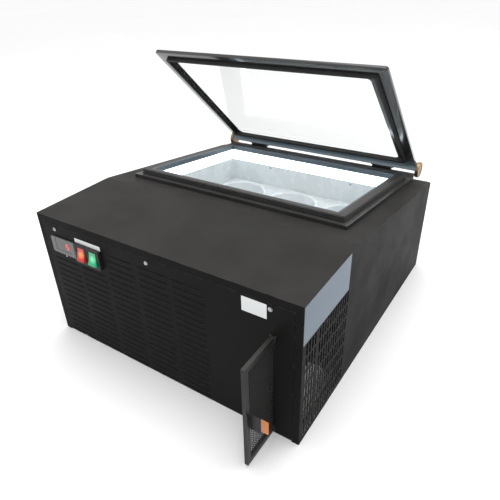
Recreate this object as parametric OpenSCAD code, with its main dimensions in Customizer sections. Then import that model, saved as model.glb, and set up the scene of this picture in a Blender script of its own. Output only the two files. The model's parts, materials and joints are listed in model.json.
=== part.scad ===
// Countertop dipping freezer: a low machine compartment in front of an insulated
// tank whose top slopes down to the rear, under a hinged glass lid.
// X runs to the right, Y to the rear, Z up; the origin is the middle of the base.

/* [Cabinet] */
// Width of the cabinet
body_w = 700; // [640:1:800]
// Depth of the machine compartment at the front
machine_d = 232; // [225:1:280]
// Height of the machine compartment
machine_h = 348; // [340:1:400]
// Depth of the insulated tank behind it
tank_d = 546; // [520:1:620]
// Height of the tank at the rear edge
rear_h = 266; // [255:1:285]
// Thickness of the casing sheet steel
sheet_t = 1.5; // [1:0.1:2]
// Outer radius of the two rear corners
rear_corner_r = 12; // [6:0.5:20]

/* [Front panel] */
// Width of the casing rim beside the front panel
rim_side = 16; // [12:0.5:22]
// Height of the casing rim above the front panel
rim_top = 18; // [14:0.5:24]
// Seam between the front panel and the casing rim
panel_seam = 0.8; // [0.4:0.1:1.5]
// Length of one louvre
louvre_len = 78; // [60:1:84]
// Distance between louvre columns
louvre_pitch_x = 93.5; // [88:0.5:96]
// Height of the lowest louvre above the base
louvre_low = 9.2; // [8.5:0.1:14]
// Louvre rows in the tall columns
louvre_rows = 19; // [12:1:19]
// Louvre rows in the short columns under the controls
short_rows = 15; // [8:1:15]
// How far a louvre stands out of the panel
louvre_out = 1.8; // [1.6:0.1:3]

/* [Side grille] */
// Width of one grille slot
slot_w = 7; // [5:0.5:8]
// Height of one grille slot
slot_h = 31.5; // [24:0.5:32.5]
// Distance between slots along the side
slot_pitch_y = 11.5; // [10.5:0.1:12]
// Distance between slot rows
slot_pitch_z = 36.2; // [34:0.1:36.5]
// Rows of slots
slot_rows = 7; // [4:1:7]

/* [Controls] */
// Width of the thermostat bezel
bezel_w = 82; // [76:0.5:84]
// Height of the thermostat bezel
bezel_h = 42; // [40:0.5:46]
// How far the thermostat bezel stands out
bezel_out = 3.5; // [3:0.1:5]
// Width of the switch block
switch_w = 81; // [78:0.5:84]
// Height of the switch block
switch_h = 49; // [46:0.5:50]
// How far the switch block stands out
switch_out = 8; // [7:0.1:10]
// Width of one rocker
rocker_w = 23; // [18:0.5:26]
// Length of one rocker
rocker_len = 36; // [30:0.5:38]
// Tilt of a rocker to either side of its middle
rocker_tilt = 15; // [10:0.5:16]

/* [Dust filter] */
// Thickness of the filter frame
filter_t = 8; // [6:0.1:9]
// Height of the filter frame
filter_h = 251; // [230:1:256]
// Length of the filter frame
filter_len = 205; // [180:1:210]
// Width of the filter frame bars
filter_bar = 11; // [7:0.5:12]
// How far the filter is drawn out
filter_drawn = 98; // [60:1:110]

/* [Tank] */
// Inner width of the tank
cavity_w = 530; // [500:1:540]
// Front inner wall of the tank, behind the seam
cavity_front = 87; // [80:1:95]
// Rear inner wall of the tank, ahead of the cabinet's back
cavity_back = 77; // [71:1:96]
// Thickness of the plastic liner
liner_t = 3; // [2:0.1:4]
// Height of the tank floor above the base
floor_h = 58; // [45:1:70]
// Height of the lamp band at the mouth
led_h = 30; // [24:0.5:34]

/* [Pans] */
// Height of the rack plates above the base
rack_h = 188; // [180:1:195]
// Outer radius of a pan rim
pan_rim_r = 84; // [70:0.5:86]
// Width of a pan rim
pan_rim_w = 7; // [5:0.5:9]
// Depth of a pan
pan_depth = 112; // [80:1:118]
// Wall thickness of a pan
pan_wall = 2; // [1.5:0.1:3]

/* [Collar] */
// Half width of the collar foot
collar_half = 302.5; // [298:0.5:306]
// Height of the collar foot
foot_h = 9; // [7:0.5:11]
// Width of the step between collar foot and frame
collar_step = 13.5; // [11:0.5:15]
// Height of the collar frame above its foot
collar_h = 13.5; // [10:0.5:14]
// Thickness of the seal under the lid
seal_h = 6.7; // [6:0.1:7]

/* [Lid] */
// Width of the lid
lid_w = 608; // [600:1:616]
// Distance of the closed lid's front edge behind the seam, along the slope
lid_front = 56; // [52:1:64]
// Thickness of the lid frame
lid_t = 8; // [7:0.5:12]
// Width of the lid frame seen from below
lid_bar = 30; // [24:1:34]
// Width of the dark border on the glass inside the frame
border_w = 14; // [8:1:20]
// Thickness of the glass
glass_t = 4; // [3:0.5:5]
// Angle by which the lid stands open
lid_open = 34.7; // [0:0.1:75]

/* [Hinge] */
// Distance of the hinge axis ahead of the cabinet's back, along the slope
hinge_back = 0.1; // [0:0.1:4]
// Height of the hinge axis above the slope
hinge_rise = 28; // [27:0.5:29]
// Outer radius of the rail that turns with the lid
rail_r = 19; // [18:0.5:20]
// Wall of that rail
rail_t = 3.5; // [2.5:0.1:4]
// Radius of the rail end caps
cap_r = 21.5; // [20:0.5:22]
// Thickness of the rail end caps
cap_t = 9.5; // [6:0.5:12]
// Radius of the hinge pins
pin_r = 4; // [3:0.1:4.5]
// Distance of each hinge from the middle
hinge_x = 207; // [180:1:230]
// Width of one hinge block
hinge_w = 55; // [45:1:60]

/* [Refrigeration] */
// Radius of the compressor can
can_r = 62; // [55:1:66]
// Height of the compressor can
can_h = 150; // [130:1:170]
// Radius of the fan blades
fan_r = 84; // [70:1:88]
// Radius of the copper pipes
pipe_r = 4; // [3:0.1:5]
// Number of condenser fins
fin_count = 24; // [12:1:30]

/* [Hidden] */
$fn = 64;
body_d = machine_d + tank_d;
half_w = body_w / 2;
front_y = -body_d / 2;
rear_y = body_d / 2;
seam_y = front_y + machine_d;
slope = atan((machine_h - rear_h) / tank_d);
slope_len = tank_d / cos(slope);
hinge_v = slope_len - hinge_back;
lid_len = hinge_v - lid_front;
rear_panel_h = rear_h + sheet_t * tan(slope) - sheet_t / cos(slope);
eps = 0.01;
clear = 0.3;

// Casing rim and the ledge that the front panel lies on
panel_half = half_w - rim_side - panel_seam;
panel_bottom = 3;
panel_top = machine_h - rim_top - panel_seam;
ledge_in = 12;
ledge_drop = 24;
inner_half = half_w - sheet_t;
partition_y = seam_y - sheet_t;
machine_y0 = front_y + sheet_t;

// Louvres
louvre_left = -half_w + 34;
louvre_first_z = machine_h - 49;
louvre_pitch_z = (louvre_first_z - louvre_low) / (louvre_rows - 1);
louvre_slot = 3;
louvre_skin = 0.8;
louvre_root = 0.3;
louvre_columns = 5;
short_columns = 2;

// Grille
grille_front = front_y + 14;
grille_web = 19;
grille_bottom = 10;
front_slots = 4;
rear_slots = 12;

// Panel screws
screw_x = [-half_w + 56.5, -half_w + 343.8, half_w - 64.8];
screw_z = machine_h - 30;
screw_head_r = 4.8;
screw_head_h = 2.4;
screw_shank_r = 2;
screw_len = 9;

// Thermostat
bezel_x = -half_w + 38.5;
bezel_z = machine_h - 91;
bezel_r = 5;
body_inset_x = 4;
body_inset_z = 4;
thermostat_d = 58;
window_left = 14;
window_right = 17;
window_low = 8;
window_high = 2.6;
window_t = 1.6;
window_set = 0.6;

// Switch block and rockers
switch_x = -half_w + 124;
switch_z = machine_h - 94.5;
switch_r = 4;
switch_wall = 2;
rocker_x = [switch_x + 21, switch_x + 59];
rocker_z = switch_z + switch_h / 2;
pivot_y = front_y - 2.5;
trunnion_r = 1.5;
trunnion_len = 1.2;
rocker_gap = 0.5;
rocker_back = 5;
rocker_crown = 6;
rocker_lip = 9.2;
socket_d = 30;

// Filter and its slot
filter_x = half_w - 61;
filter_z = 7;
filter_gap = 0.6;
slot_pad = 3;
slot_low = 6;
filter_front = front_y - filter_drawn;
mesh_t = 1.2;
mesh_wire = 1.4;
mesh_count_y = 14;
mesh_count_z = 18;
tab_w = 24;
tab_h = 39;
tab_z = 106;
tab_t = 1.4;
tab_end_w = 15;
tab_end_h = 31;
rail_lip = 3;
rail_wall = 1.5;
rail_depth = 6;
filter_rail_len = machine_d - 20;

// Tank in the cabinet frame
cavity_half = cavity_w / 2;
cavity_rear = tank_d - cavity_back;
cavity_y0 = seam_y + cavity_front;
cavity_y1 = seam_y + cavity_rear;
outer_half = cavity_half + liner_t;
base_t = 1.5;
base_flange = 14;
panel_flange = 60;
front_flange = cavity_front;
coil_r = 4;
coil_levels = [floor_h + 18, floor_h + 46, floor_h + 74, floor_h + 102];
cavity_r = 12;
coil_bend = cavity_r + liner_t + clear + coil_r;

// Mouth of the tank, in the frame of the slope
mouth_front = (cavity_front + 1) / cos(slope);
mouth_rear = (cavity_rear + 2.5) / cos(slope);
led_top = 8;
led_t = 3;
led_bottom = led_top - led_h;
breaker_rib = 0.8;
mouth_r = 5;
mitre_gap = 0.3;

// Rack plates and pans
plate_t = 1.5;
plate_edge = 12;
plate_gap = 0.6;
plate_count = 3;
plate_w = cavity_w / plate_count - plate_gap;
ledge_t = 8;
pan_pitch_x = cavity_w / plate_count;
pan_rows = 2;
cavity_len = cavity_y1 - cavity_y0;
pan_pitch_y = cavity_len / pan_rows;
pan_hole_r = pan_rim_r - pan_rim_w;
pan_top_r = pan_hole_r - 0.8;
pan_low_r = pan_top_r - 7;
rim_t = 3.2;
bead_r = 2;
bead_a = 180 - asin((rim_t - bead_r) / bead_r);
bead_b = asin((bead_r - rim_t + pan_wall) / bead_r) - 180;
bead_count = 9;
rim_bead = [for (k = [0 : bead_count]) let (a = bead_a + (bead_b - bead_a) * k / bead_count)
    [pan_rim_r - bead_r + bead_r * cos(a), bead_r + bead_r * sin(a)]];

// Collar in the frame of the slope
collar_front = mouth_front - (collar_half - outer_half);
rear_bar = 46;
collar_rear = mouth_rear + rear_bar;
frame_rear_step = 3;
frame_half = collar_half - collar_step;
collar_rib = 2;
collar_rib_count = 3;
groove_w = 1.6;
groove_d = 1.2;
grooves = [5, 10, 15];
seal_w = 6;

// Lid in its own frame: origin on the hinge axis, -Y to the lid's front edge
lid_low = foot_h + collar_h + seal_h + clear - hinge_rise;
lid_half = lid_w / 2;
lid_r = 7;
frame_tail = 24;
glass_set = 1;
rebate = 8;
border_t = 0.8;
border_r = 12;
clear_front = lid_len - lid_bar - border_w;
clear_rear = 50;

// Rail and hinges
rail_from = 36;
rail_to = 148;
rail_web_t = 5;
hub_r = 7.5;
strip_t = 3;
strip_top = 16;
strip_foot = 16;
strip_half = lid_half - 4;
strip_y = hinge_v - 1.5;
block_d = 8;
block_top = 21;
knuckle_r = 9.5;
pin_gap = 0.05;
side_gap = 0.4;
hinge_screw_r = 3.4;
hinge_screw_h = 1.6;
hinge_screw_dx = 15;

// Machine compartment
can_x = -half_w + 135;
can_y = (machine_y0 + partition_y) / 2;
can_foot = 18;
grommet_r = 9;
foot_half = 58;
bolt_r = 3;
coil_x = half_w - 100;
fin_w = 30;
fin_y0 = machine_y0 + 28;
fin_y1 = partition_y - 28;
fin_z0 = 10;
fin_z1 = 240;
fin_t = 0.6;
fin_end_t = 1.5;
tube_rows = 4;
dryer_dx = 28;
dryer_bend = 9;
dryer_r = 9;
dryer_len = 70;
dryer_cone = 8;
capillary_r = 1.5;
fan_x = coil_x - 66;
shroud_t = 2;
shroud_hole = fan_r + 4;
fan_y = can_y;
fan_z = 120;
hub_len = 22;
fan_hub_r = 20;
motor_r = 27;
motor_len = 40;
blade_count = 5;
gland_y = partition_y - 14;
gland_z = 24;
gland_r = 8;
gland_neck_r = 6;
gland_bore_r = 4.5;

// ---------- Shared shapes ----------

// Places children on the sloping top: X right, Y down the slope, Z away from it
module on_slope() {
    translate([0, seam_y, machine_h]) rotate([-slope, 0, 0]) children();
}

// Places children in the lid's frame, turned open about the hinge axis
module on_lid() {
    on_slope() translate([0, hinge_v, hinge_rise]) rotate([-lid_open, 0, 0]) children();
}

// Rectangle from one corner to the other with round corners
module round_rect(x0, y0, x1, y1, r) {
    translate([x0 + r, y0]) square([x1 - x0 - 2 * r, y1 - y0]);
    translate([x0, y0 + r]) square([x1 - x0, y1 - y0 - 2 * r]);
    for (x = [x0 + r, x1 - r], y = [y0 + r, y1 - r]) {
        translate([x, y]) circle(r);
    }
}

// Flat ring on the slope, measured from its inner edge outwards
module mouth_ring(inset, out, low, high, r_in = 0.5, r_out = 0.5) {
    translate([0, 0, low]) linear_extrude(high - low) difference() {
        round_rect(-cavity_half - out, mouth_front - out,
            cavity_half + out, mouth_rear + out, r_out);
        round_rect(-cavity_half - inset, mouth_front - inset,
            cavity_half + inset, mouth_rear + inset, r_in);
    }
}

// The four bars of a ring round a rectangle, mitred at 45 degrees from its corners
module mitred(x, y0, y1) {
    reach = half_w;
    joint = mitre_gap / sqrt(2);
    for (side = [-1, 1]) intersection() {
        children();
        translate([0, 0, -body_d]) linear_extrude(body_d * 2)
            polygon([[side * (x + joint), y0], [side * (x + joint), y1],
                [side * (x + joint + reach), y1 + reach], [side * (x + joint + reach), y0 - reach]]);
    }
    for (end = [[y0, -1], [y1, 1]]) intersection() {
        children();
        translate([0, 0, -body_d]) linear_extrude(body_d * 2)
            polygon([[-x, end[0] + end[1] * joint], [x, end[0] + end[1] * joint],
                [x + reach, end[0] + end[1] * (joint + reach)],
                [-x - reach, end[0] + end[1] * (joint + reach)]]);
    }
}

module mouth_bars() {
    on_slope() mitred(cavity_half, mouth_front, mouth_rear) children();
}

// Extrudes a Y-Z profile along X, centred
module along_x(len) {
    rotate([90, 0, 90]) translate([0, 0, -len / 2]) linear_extrude(len) children();
}

// Cylinder along X from x0 to x1
module rod_x(x0, x1, y, z, r) {
    translate([x0, y, z]) rotate([0, 90, 0]) cylinder(h = x1 - x0, r = r);
}

// Cylinder along Y from y0 to y1
module rod_y(x, y0, y1, z, r) {
    translate([x, y0, z]) rotate([-90, 0, 0]) cylinder(h = y1 - y0, r = r);
}

// Pan-head screw along Y, head to the front
module screw_y(x, y, z) {
    rod_y(x, y - screw_head_h * 0.55, y, z, screw_head_r);
    rod_y(x, y - screw_head_h, y - screw_head_h * 0.55, z, screw_head_r * 0.72);
    rod_y(x, y, y + screw_len, z, screw_shank_r);
}

// ---------- Casing ----------

module base_pan() {
    color("dimgray") difference() {
        translate([-inner_half, machine_y0, 0])
            cube([inner_half * 2, rear_y - sheet_t - machine_y0, base_flange]);
        translate([-inner_half + base_t, machine_y0 + base_t, base_t])
            cube([(inner_half - base_t) * 2, rear_y - sheet_t - machine_y0 - base_t * 2, base_flange]);
        for (x = [-1, 1]) {
            translate([x * inner_half, rear_y - sheet_t, 0])
                cylinder(h = base_flange * 3, r = rear_corner_r, center = true);
        }
        translate([filter_x - filter_t / 2 - slot_pad, machine_y0 - eps, slot_low - eps])
            cube([filter_t + slot_pad * 2, base_t + 1, base_flange]);
    }
}

module side_slots() {
    for (row = [0 : slot_rows - 1]) {
        z = grille_bottom + row * slot_pitch_z;
        for (i = [0 : front_slots + rear_slots - 1]) {
            web = i < front_slots ? 0 : grille_web - slot_pitch_y;
            y = grille_front + i * slot_pitch_y + web;
            translate([y, z + slot_w / 2]) square([slot_w, slot_h - slot_w]);
            for (end = [slot_w / 2, slot_h - slot_w / 2]) {
                translate([y + slot_w / 2, z + end]) circle(slot_w / 2, $fn = 16);
            }
        }
    }
}

module machine_casing() {
    color([0.13, 0.13, 0.13]) difference() {
        union() {
            difference() {
                translate([-half_w, front_y, 0]) cube([body_w, machine_d, machine_h]);
                translate([-inner_half, machine_y0, -1])
                    cube([inner_half * 2, machine_d, machine_h - sheet_t + 1]);
                translate([-half_w + rim_side, front_y - 1, -1])
                    cube([body_w - rim_side * 2, sheet_t * 2, machine_h - rim_top + 1]);
            }
            difference() {
                translate([-inner_half, machine_y0, base_flange])
                    cube([inner_half * 2, sheet_t, machine_h - sheet_t - base_flange]);
                translate([-half_w + rim_side + ledge_in, front_y, -1])
                    cube([body_w - (rim_side + ledge_in) * 2, sheet_t * 4,
                        machine_h - rim_top - ledge_drop + 1]);
            }
        }
        for (x = screw_x) rod_y(x, front_y - 1, front_y + sheet_t * 4, screw_z, screw_shank_r);
        along_x(body_w * 2) side_slots();
        rod_x(-half_w - 1, 0, gland_y, gland_z, gland_neck_r);
    }
}

// One louvre: a slit under a pressed hood that is open at its left end
module louvre_hood() {
    lip = louvre_slot / 2 - 0.4;
    root = louvre_slot / 2 + louvre_root;
    along_x(louvre_len) polygon([[louvre_root * 2, root + louvre_out], [0, root + louvre_out],
        [-louvre_out, 0], [-louvre_out, -lip], [-louvre_out + louvre_skin, -lip],
        [-louvre_out + louvre_skin, 0], [0, root], [louvre_root * 2, root]]);
    translate([louvre_len / 2, 0, 0]) along_x(louvre_skin * 2)
        polygon([[louvre_root * 2, root + louvre_root], [-louvre_out, 0], [-louvre_out, -lip],
            [louvre_root * 2, -root - louvre_root]]);
}

module each_louvre() {
    for (col = [0 : louvre_columns - 1]) {
        rows = col < short_columns ? short_rows : louvre_rows;
        for (row = [louvre_rows - rows : louvre_rows - 1]) {
            translate([louvre_left + louvre_len / 2 + col * louvre_pitch_x, front_y,
                louvre_first_z - row * louvre_pitch_z]) children();
        }
    }
}

module front_panel() {
    color([0.15, 0.15, 0.15]) {
        difference() {
            translate([-panel_half, front_y, panel_bottom])
                cube([panel_half * 2, sheet_t, panel_top - panel_bottom]);
            each_louvre() translate([-louvre_len / 2, -1, -louvre_slot / 2])
                cube([louvre_len, sheet_t * 3, louvre_slot]);
            for (x = screw_x) rod_y(x, front_y - 1, front_y + sheet_t * 2, screw_z, screw_shank_r);
            translate([bezel_x + body_inset_x - clear, front_y - 1, bezel_z + body_inset_z - clear])
                cube([bezel_w - (body_inset_x - clear) * 2, sheet_t * 3,
                    bezel_h - (body_inset_z - clear) * 2]);
            translate([switch_x + switch_wall * 2 - clear, front_y - 1, switch_z + switch_wall - clear])
                cube([switch_w - (switch_wall * 2 - clear) * 2, sheet_t * 3,
                    switch_h - (switch_wall - clear) * 2]);
            translate([filter_x - filter_t / 2 - slot_pad, front_y - 1, slot_low])
                cube([filter_t + slot_pad * 2, sheet_t * 3, filter_z + filter_h + slot_pad - slot_low]);
            translate([-half_w + 70, front_y - 1, panel_bottom - 1])
                cube([12, sheet_t * 3, 9]);
            for (x = [bezel_x + 38, switch_x + 46]) {
                rod_y(x, front_y - 1, front_y + sheet_t * 2, bezel_z - 7, 2.5);
            }
        }
        each_louvre() louvre_hood();
    }
}

module panel_screws() {
    color("whitesmoke") for (x = screw_x) screw_y(x, front_y, screw_z);
}

// ---------- Controls ----------

module thermostat_body() {
    color([0.1, 0.1, 0.1])
        translate([bezel_x + body_inset_x, front_y, bezel_z + body_inset_z])
        cube([bezel_w - body_inset_x * 2, thermostat_d, bezel_h - body_inset_z * 2]);
}

module window_box(grow, depth) {
    translate([bezel_x + window_left - grow, front_y - bezel_out - 1, bezel_z + window_low - grow])
        cube([bezel_w - window_left - window_right + grow * 2, depth + 1,
            bezel_h - window_low - window_high + grow * 2]);
}

module thermostat_bezel() {
    color([0.55, 0.55, 0.53]) difference() {
        translate([0, front_y, 0]) rotate([90, 0, 0]) linear_extrude(bezel_out)
            round_rect(bezel_x, bezel_z, bezel_x + bezel_w, bezel_z + bezel_h, bezel_r);
        window_box(0, window_set + window_t);
    }
}

module thermostat_window() {
    color([0.2, 0.2, 0.2]) intersection() {
        window_box(0, window_set + window_t);
        translate([bezel_x, front_y - bezel_out + window_set, bezel_z])
            cube([bezel_w, window_t, bezel_h]);
    }
}

// The block is a shell in front of the panel with a socket behind each rocker
module switch_block() {
    well_w = rocker_w + rocker_gap * 2;
    well_h = rocker_len + rocker_gap * 2;
    color([0.07, 0.07, 0.07]) difference() {
        union() {
            translate([0, front_y, 0]) rotate([90, 0, 0]) linear_extrude(switch_out)
                round_rect(switch_x, switch_z, switch_x + switch_w, switch_z + switch_h, switch_r);
            for (x = rocker_x) {
                translate([x - well_w / 2 - switch_wall, front_y - eps, rocker_z - well_h / 2 - switch_wall])
                    cube([well_w + switch_wall * 2, socket_d, well_h + switch_wall * 2]);
            }
        }
        for (x = rocker_x) {
            translate([x - well_w / 2, front_y - switch_out - 1, rocker_z - well_h / 2])
                cube([well_w, switch_out + 1 + socket_d - switch_wall, well_h]);
            rod_x(x - well_w / 2 - trunnion_len - clear, x + well_w / 2 + trunnion_len + clear,
                pivot_y, rocker_z, trunnion_r + pin_gap);
        }
        translate([(rocker_x[0] + rocker_x[1]) / 2 - 1, front_y - switch_out - 1, switch_z - 1])
            cube([2, 3, switch_h + 2]);
    }
}

// Side profile: ends round about the pivot, face hollowed between its two lips
module rocker_profile() {
    intersection() {
        circle(rocker_len / 2, $fn = 96);
        difference() {
            translate([-rocker_lip, -rocker_len / 2])
                square([rocker_lip + rocker_back, rocker_len]);
            translate([-rocker_crown - rocker_len * 1.5, 0]) circle(rocker_len * 1.5, $fn = 128);
        }
    }
}

module rocker(x) {
    translate([x, pivot_y, rocker_z]) rotate([-rocker_tilt, 0, 0]) {
        along_x(rocker_w) rocker_profile();
        rod_x(-rocker_w / 2 - rocker_gap - trunnion_len, rocker_w / 2 + rocker_gap + trunnion_len,
            0, 0, trunnion_r);
    }
}

module red_rocker() {
    color([0.85, 0.15, 0.12]) rocker(rocker_x[0]);
}

module green_rocker() {
    color([0.1, 0.75, 0.4]) rocker(rocker_x[1]);
}

// ---------- Dust filter ----------

module filter_frame() {
    color([0.12, 0.12, 0.12])
        translate([filter_x, filter_front + filter_len / 2, filter_z + filter_h / 2])
        along_x(filter_t) difference() {
            square([filter_len, filter_h], center = true);
            square([filter_len - filter_bar * 2, filter_h - filter_bar * 2], center = true);
        }
}

module filter_mesh() {
    net_y = filter_len - filter_bar * 2;
    net_z = filter_h - filter_bar * 2;
    step_y = (net_y - mesh_wire) / mesh_count_y;
    step_z = (net_z - mesh_wire) / mesh_count_z;
    color([0.25, 0.25, 0.25])
        translate([filter_x, filter_front + filter_len / 2, filter_z + filter_h / 2])
        along_x(mesh_t) difference() {
            square([net_y, net_z], center = true);
            for (i = [0 : mesh_count_y - 1], j = [0 : mesh_count_z - 1]) {
                translate([-net_y / 2 + mesh_wire + i * step_y, -net_z / 2 + mesh_wire + j * step_z])
                    square([step_y - mesh_wire, step_z - mesh_wire]);
            }
        }
}

// Angle on the side of the front bar whose long leg stands out as a pull, with a narrower end
module filter_tab() {
    x0 = filter_x + filter_t / 2;
    y0 = filter_front + filter_bar;
    color([0.16, 0.16, 0.16]) {
        translate([x0, filter_front, tab_z]) cube([tab_t, filter_bar, tab_h]);
        translate([x0, y0 - tab_t, tab_z]) cube([tab_w, tab_t, tab_h]);
        translate([x0 + tab_w - eps, y0 - tab_t, tab_z + tab_h - tab_end_h]) cube([tab_end_w, tab_t, tab_end_h]);
    }
}

// Channels above and below the filter, between the front panel and the partition
module filter_rails() {
    channel = filter_t + (filter_gap + rail_wall) * 2;
    color("silver") {
        difference() {
            translate([filter_x - channel / 2, machine_y0 + base_t, base_t])
                cube([channel, filter_rail_len, filter_z - base_t + rail_depth]);
            translate([filter_x - filter_t / 2 - filter_gap, machine_y0, filter_z - clear])
                cube([filter_t + filter_gap * 2, filter_rail_len + 20, rail_depth + 1]);
        }
        difference() {
            translate([filter_x - channel / 2, machine_y0 + sheet_t, filter_z + filter_h - rail_depth])
                cube([channel, partition_y - machine_y0 - sheet_t, rail_depth + rail_wall + clear]);
            translate([filter_x - filter_t / 2 - filter_gap, machine_y0, filter_z + filter_h - rail_depth - 1])
                cube([filter_t + filter_gap * 2, filter_rail_len, rail_depth + 1 + clear]);
        }
    }
}

// ---------- Machine compartment ----------

function tube_z(i) = fin_z0 + (fin_z1 - fin_z0) * (i + 0.5) / (tube_rows * 2);

module condenser_fins() {
    pitch = (fin_y1 - fin_y0) / (fin_count - 1);
    color("gainsboro") for (i = [0 : fin_count - 1]) {
        difference() {
            translate([coil_x - fin_w / 2, fin_y0 + i * pitch - fin_t / 2, fin_z0])
                cube([fin_w, fin_t, fin_z1 - fin_z0]);
            for (k = [0 : tube_rows * 2 - 1]) {
                rod_y(coil_x, fin_y0 - 5, fin_y1 + 5, tube_z(k), pipe_r);
            }
        }
    }
}

// Half turn between two neighbouring tubes, bulging to the side dir
module return_bend(y, z, dir) {
    gap = (fin_z1 - fin_z0) / (tube_rows * 2);
    translate([coil_x, y, z + gap / 2]) rotate([0, 90, 0]) rotate([0, 0, dir > 0 ? 0 : 180])
        rotate_extrude(angle = 180) translate([gap / 2, 0]) circle(pipe_r, $fn = 24);
}

module condenser_tubes() {
    color("peru") {
        for (k = [0 : tube_rows * 2 - 1]) rod_y(coil_x, fin_y0 - 4, fin_y1 + 4, tube_z(k), pipe_r);
        for (k = [0 : 2 : tube_rows * 2 - 2]) return_bend(fin_y0 - 4, tube_z(k), -1);
        for (k = [1 : 2 : tube_rows * 2 - 3]) return_bend(fin_y1 + 4, tube_z(k), 1);
    }
}

module condenser_plates() {
    color("silver") for (y = [fin_y0 - fin_t / 2 - fin_end_t, fin_y1 + fin_t / 2]) {
        difference() {
            translate([coil_x - fin_w / 2, y, base_t]) cube([fin_w, fin_end_t, fin_z1 - base_t]);
            for (k = [0 : tube_rows * 2 - 1]) {
                rod_y(coil_x, y - 1, y + fin_end_t + 1, tube_z(k), pipe_r);
            }
        }
    }
}

// Pale guide plate low down beside the grille, with its rear top corner cut off
module air_baffle() {
    color([0.75, 0.76, 0.76]) translate([half_w - 30, 0, 0]) {
        along_x(1) polygon([[machine_y0 + sheet_t, base_flange], [machine_y0 + sheet_t, 135],
            [machine_y0 + 92, 135], [machine_y0 + 158, 66], [machine_y0 + 195, base_flange]]);
        translate([0, 0, 0]) along_x(30 - sheet_t * 2)
            polygon([[machine_y0 + sheet_t, base_flange], [machine_y0 + 195, base_flange],
                [machine_y0 + 195, base_flange + 1], [machine_y0 + sheet_t, base_flange + 1]]);
    }
}

module fan_shroud() {
    color("silver") difference() {
        union() {
            translate([fan_x, machine_y0 + 6, base_t])
                cube([shroud_t, partition_y - machine_y0 - 12, 240]);
            rod_x(fan_x - 14, fan_x + shroud_t, fan_y, fan_z, shroud_hole + shroud_t);
        }
        rod_x(fan_x - 30, fan_x + 30, fan_y, fan_z, shroud_hole);
    }
}

module fan_motor() {
    color("dimgray") {
        rod_x(fan_x - 30 - motor_len, fan_x - 30, fan_y, fan_z, motor_r);
        rod_x(fan_x - 30, fan_x + 2, fan_y, fan_z, 3);
        translate([fan_x - 30 - motor_len / 2 - 10, fan_y - 12, base_t])
            cube([20, 24, fan_z - base_t - motor_r * 0.9]);
    }
}

module fan_blades() {
    color("gray") {
        difference() {
            rod_x(fan_x - 18, fan_x - 18 + hub_len, fan_y, fan_z, fan_hub_r);
            rod_x(fan_x - 20, fan_x + 2.5, fan_y, fan_z, 3.05);
        }
        for (k = [0 : blade_count - 1]) {
            translate([fan_x - 7, fan_y, fan_z]) rotate([k * 360 / blade_count, 0, 0])
                intersection() {
                    translate([0, 0, fan_hub_r - 2]) rotate([0, 0, 32])
                        translate([-1, -34, 0]) cube([2, 68, fan_r - fan_hub_r + 2]);
                    rod_x(-11, 11, 0, 0, fan_r);
                }
        }
    }
}

module compressor() {
    dome = can_r * 1.35;
    color([0.09, 0.09, 0.09]) translate([can_x, can_y, can_foot + 4]) {
        intersection() {
            cylinder(h = can_h, r = can_r);
            translate([0, 0, can_h - dome]) sphere(dome);
            translate([0, 0, dome]) sphere(dome * 1.35);
        }
        translate([0, 0, can_h * 0.5]) cylinder(h = 4, r = can_r + 3);
        translate([0, 0, can_h * 0.72]) rotate([0, 90, 0]) cylinder(h = can_r + 14, r = pipe_r + 1);
        translate([0, 0, can_h * 0.35]) rotate([-90, 0, 0]) cylinder(h = can_r + 10, r = pipe_r + 1);
    }
}

module compressor_foot() {
    color("dimgray") difference() {
        translate([can_x - foot_half - 16, can_y - foot_half - 10, can_foot])
            cube([(foot_half + 16) * 2, (foot_half + 10) * 2, 4]);
        for (x = [-1, 1], y = [-1, 1]) {
            translate([can_x + x * foot_half, can_y + y * foot_half, can_foot - 1])
                cylinder(h = 6, r = grommet_r - 2);
        }
    }
}

module compressor_grommets() {
    color([0.1, 0.1, 0.1]) for (x = [-1, 1], y = [-1, 1]) {
        translate([can_x + x * foot_half, can_y + y * foot_half, 0]) difference() {
            union() {
                translate([0, 0, base_t]) cylinder(h = can_foot - base_t, r = grommet_r);
                translate([0, 0, can_foot]) cylinder(h = 4, r = grommet_r - 2);
                translate([0, 0, can_foot + 4]) cylinder(h = 4, r = grommet_r);
            }
            cylinder(h = 60, r = bolt_r);
        }
    }
}

module compressor_bolts() {
    color("silver") for (x = [-1, 1], y = [-1, 1]) {
        translate([can_x + x * foot_half, can_y + y * foot_half, base_t]) {
            cylinder(h = can_foot + 8, r = bolt_r);
            translate([0, 0, can_foot + 8 - base_t]) cylinder(h = 5, r = 6, $fn = 6);
        }
    }
}

module terminal_cover() {
    color([0.15, 0.15, 0.15]) difference() {
        translate([can_x - can_r - 30, can_y - 26, can_foot + 26]) cube([44, 52, 66]);
        translate([can_x, can_y, 0]) cylinder(h = machine_h, r = can_r + 0.2);
        translate([can_x, can_y, can_foot + 4 + can_h * 0.5 - 0.2]) cylinder(h = 4.4, r = can_r + 3.2);
    }
}

// Quarter bend; starts along +X of the local frame and turns towards +Y
module quarter(r_bend) {
    rotate_extrude(angle = 90) translate([r_bend, 0]) circle(pipe_r, $fn = 24);
}

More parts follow.
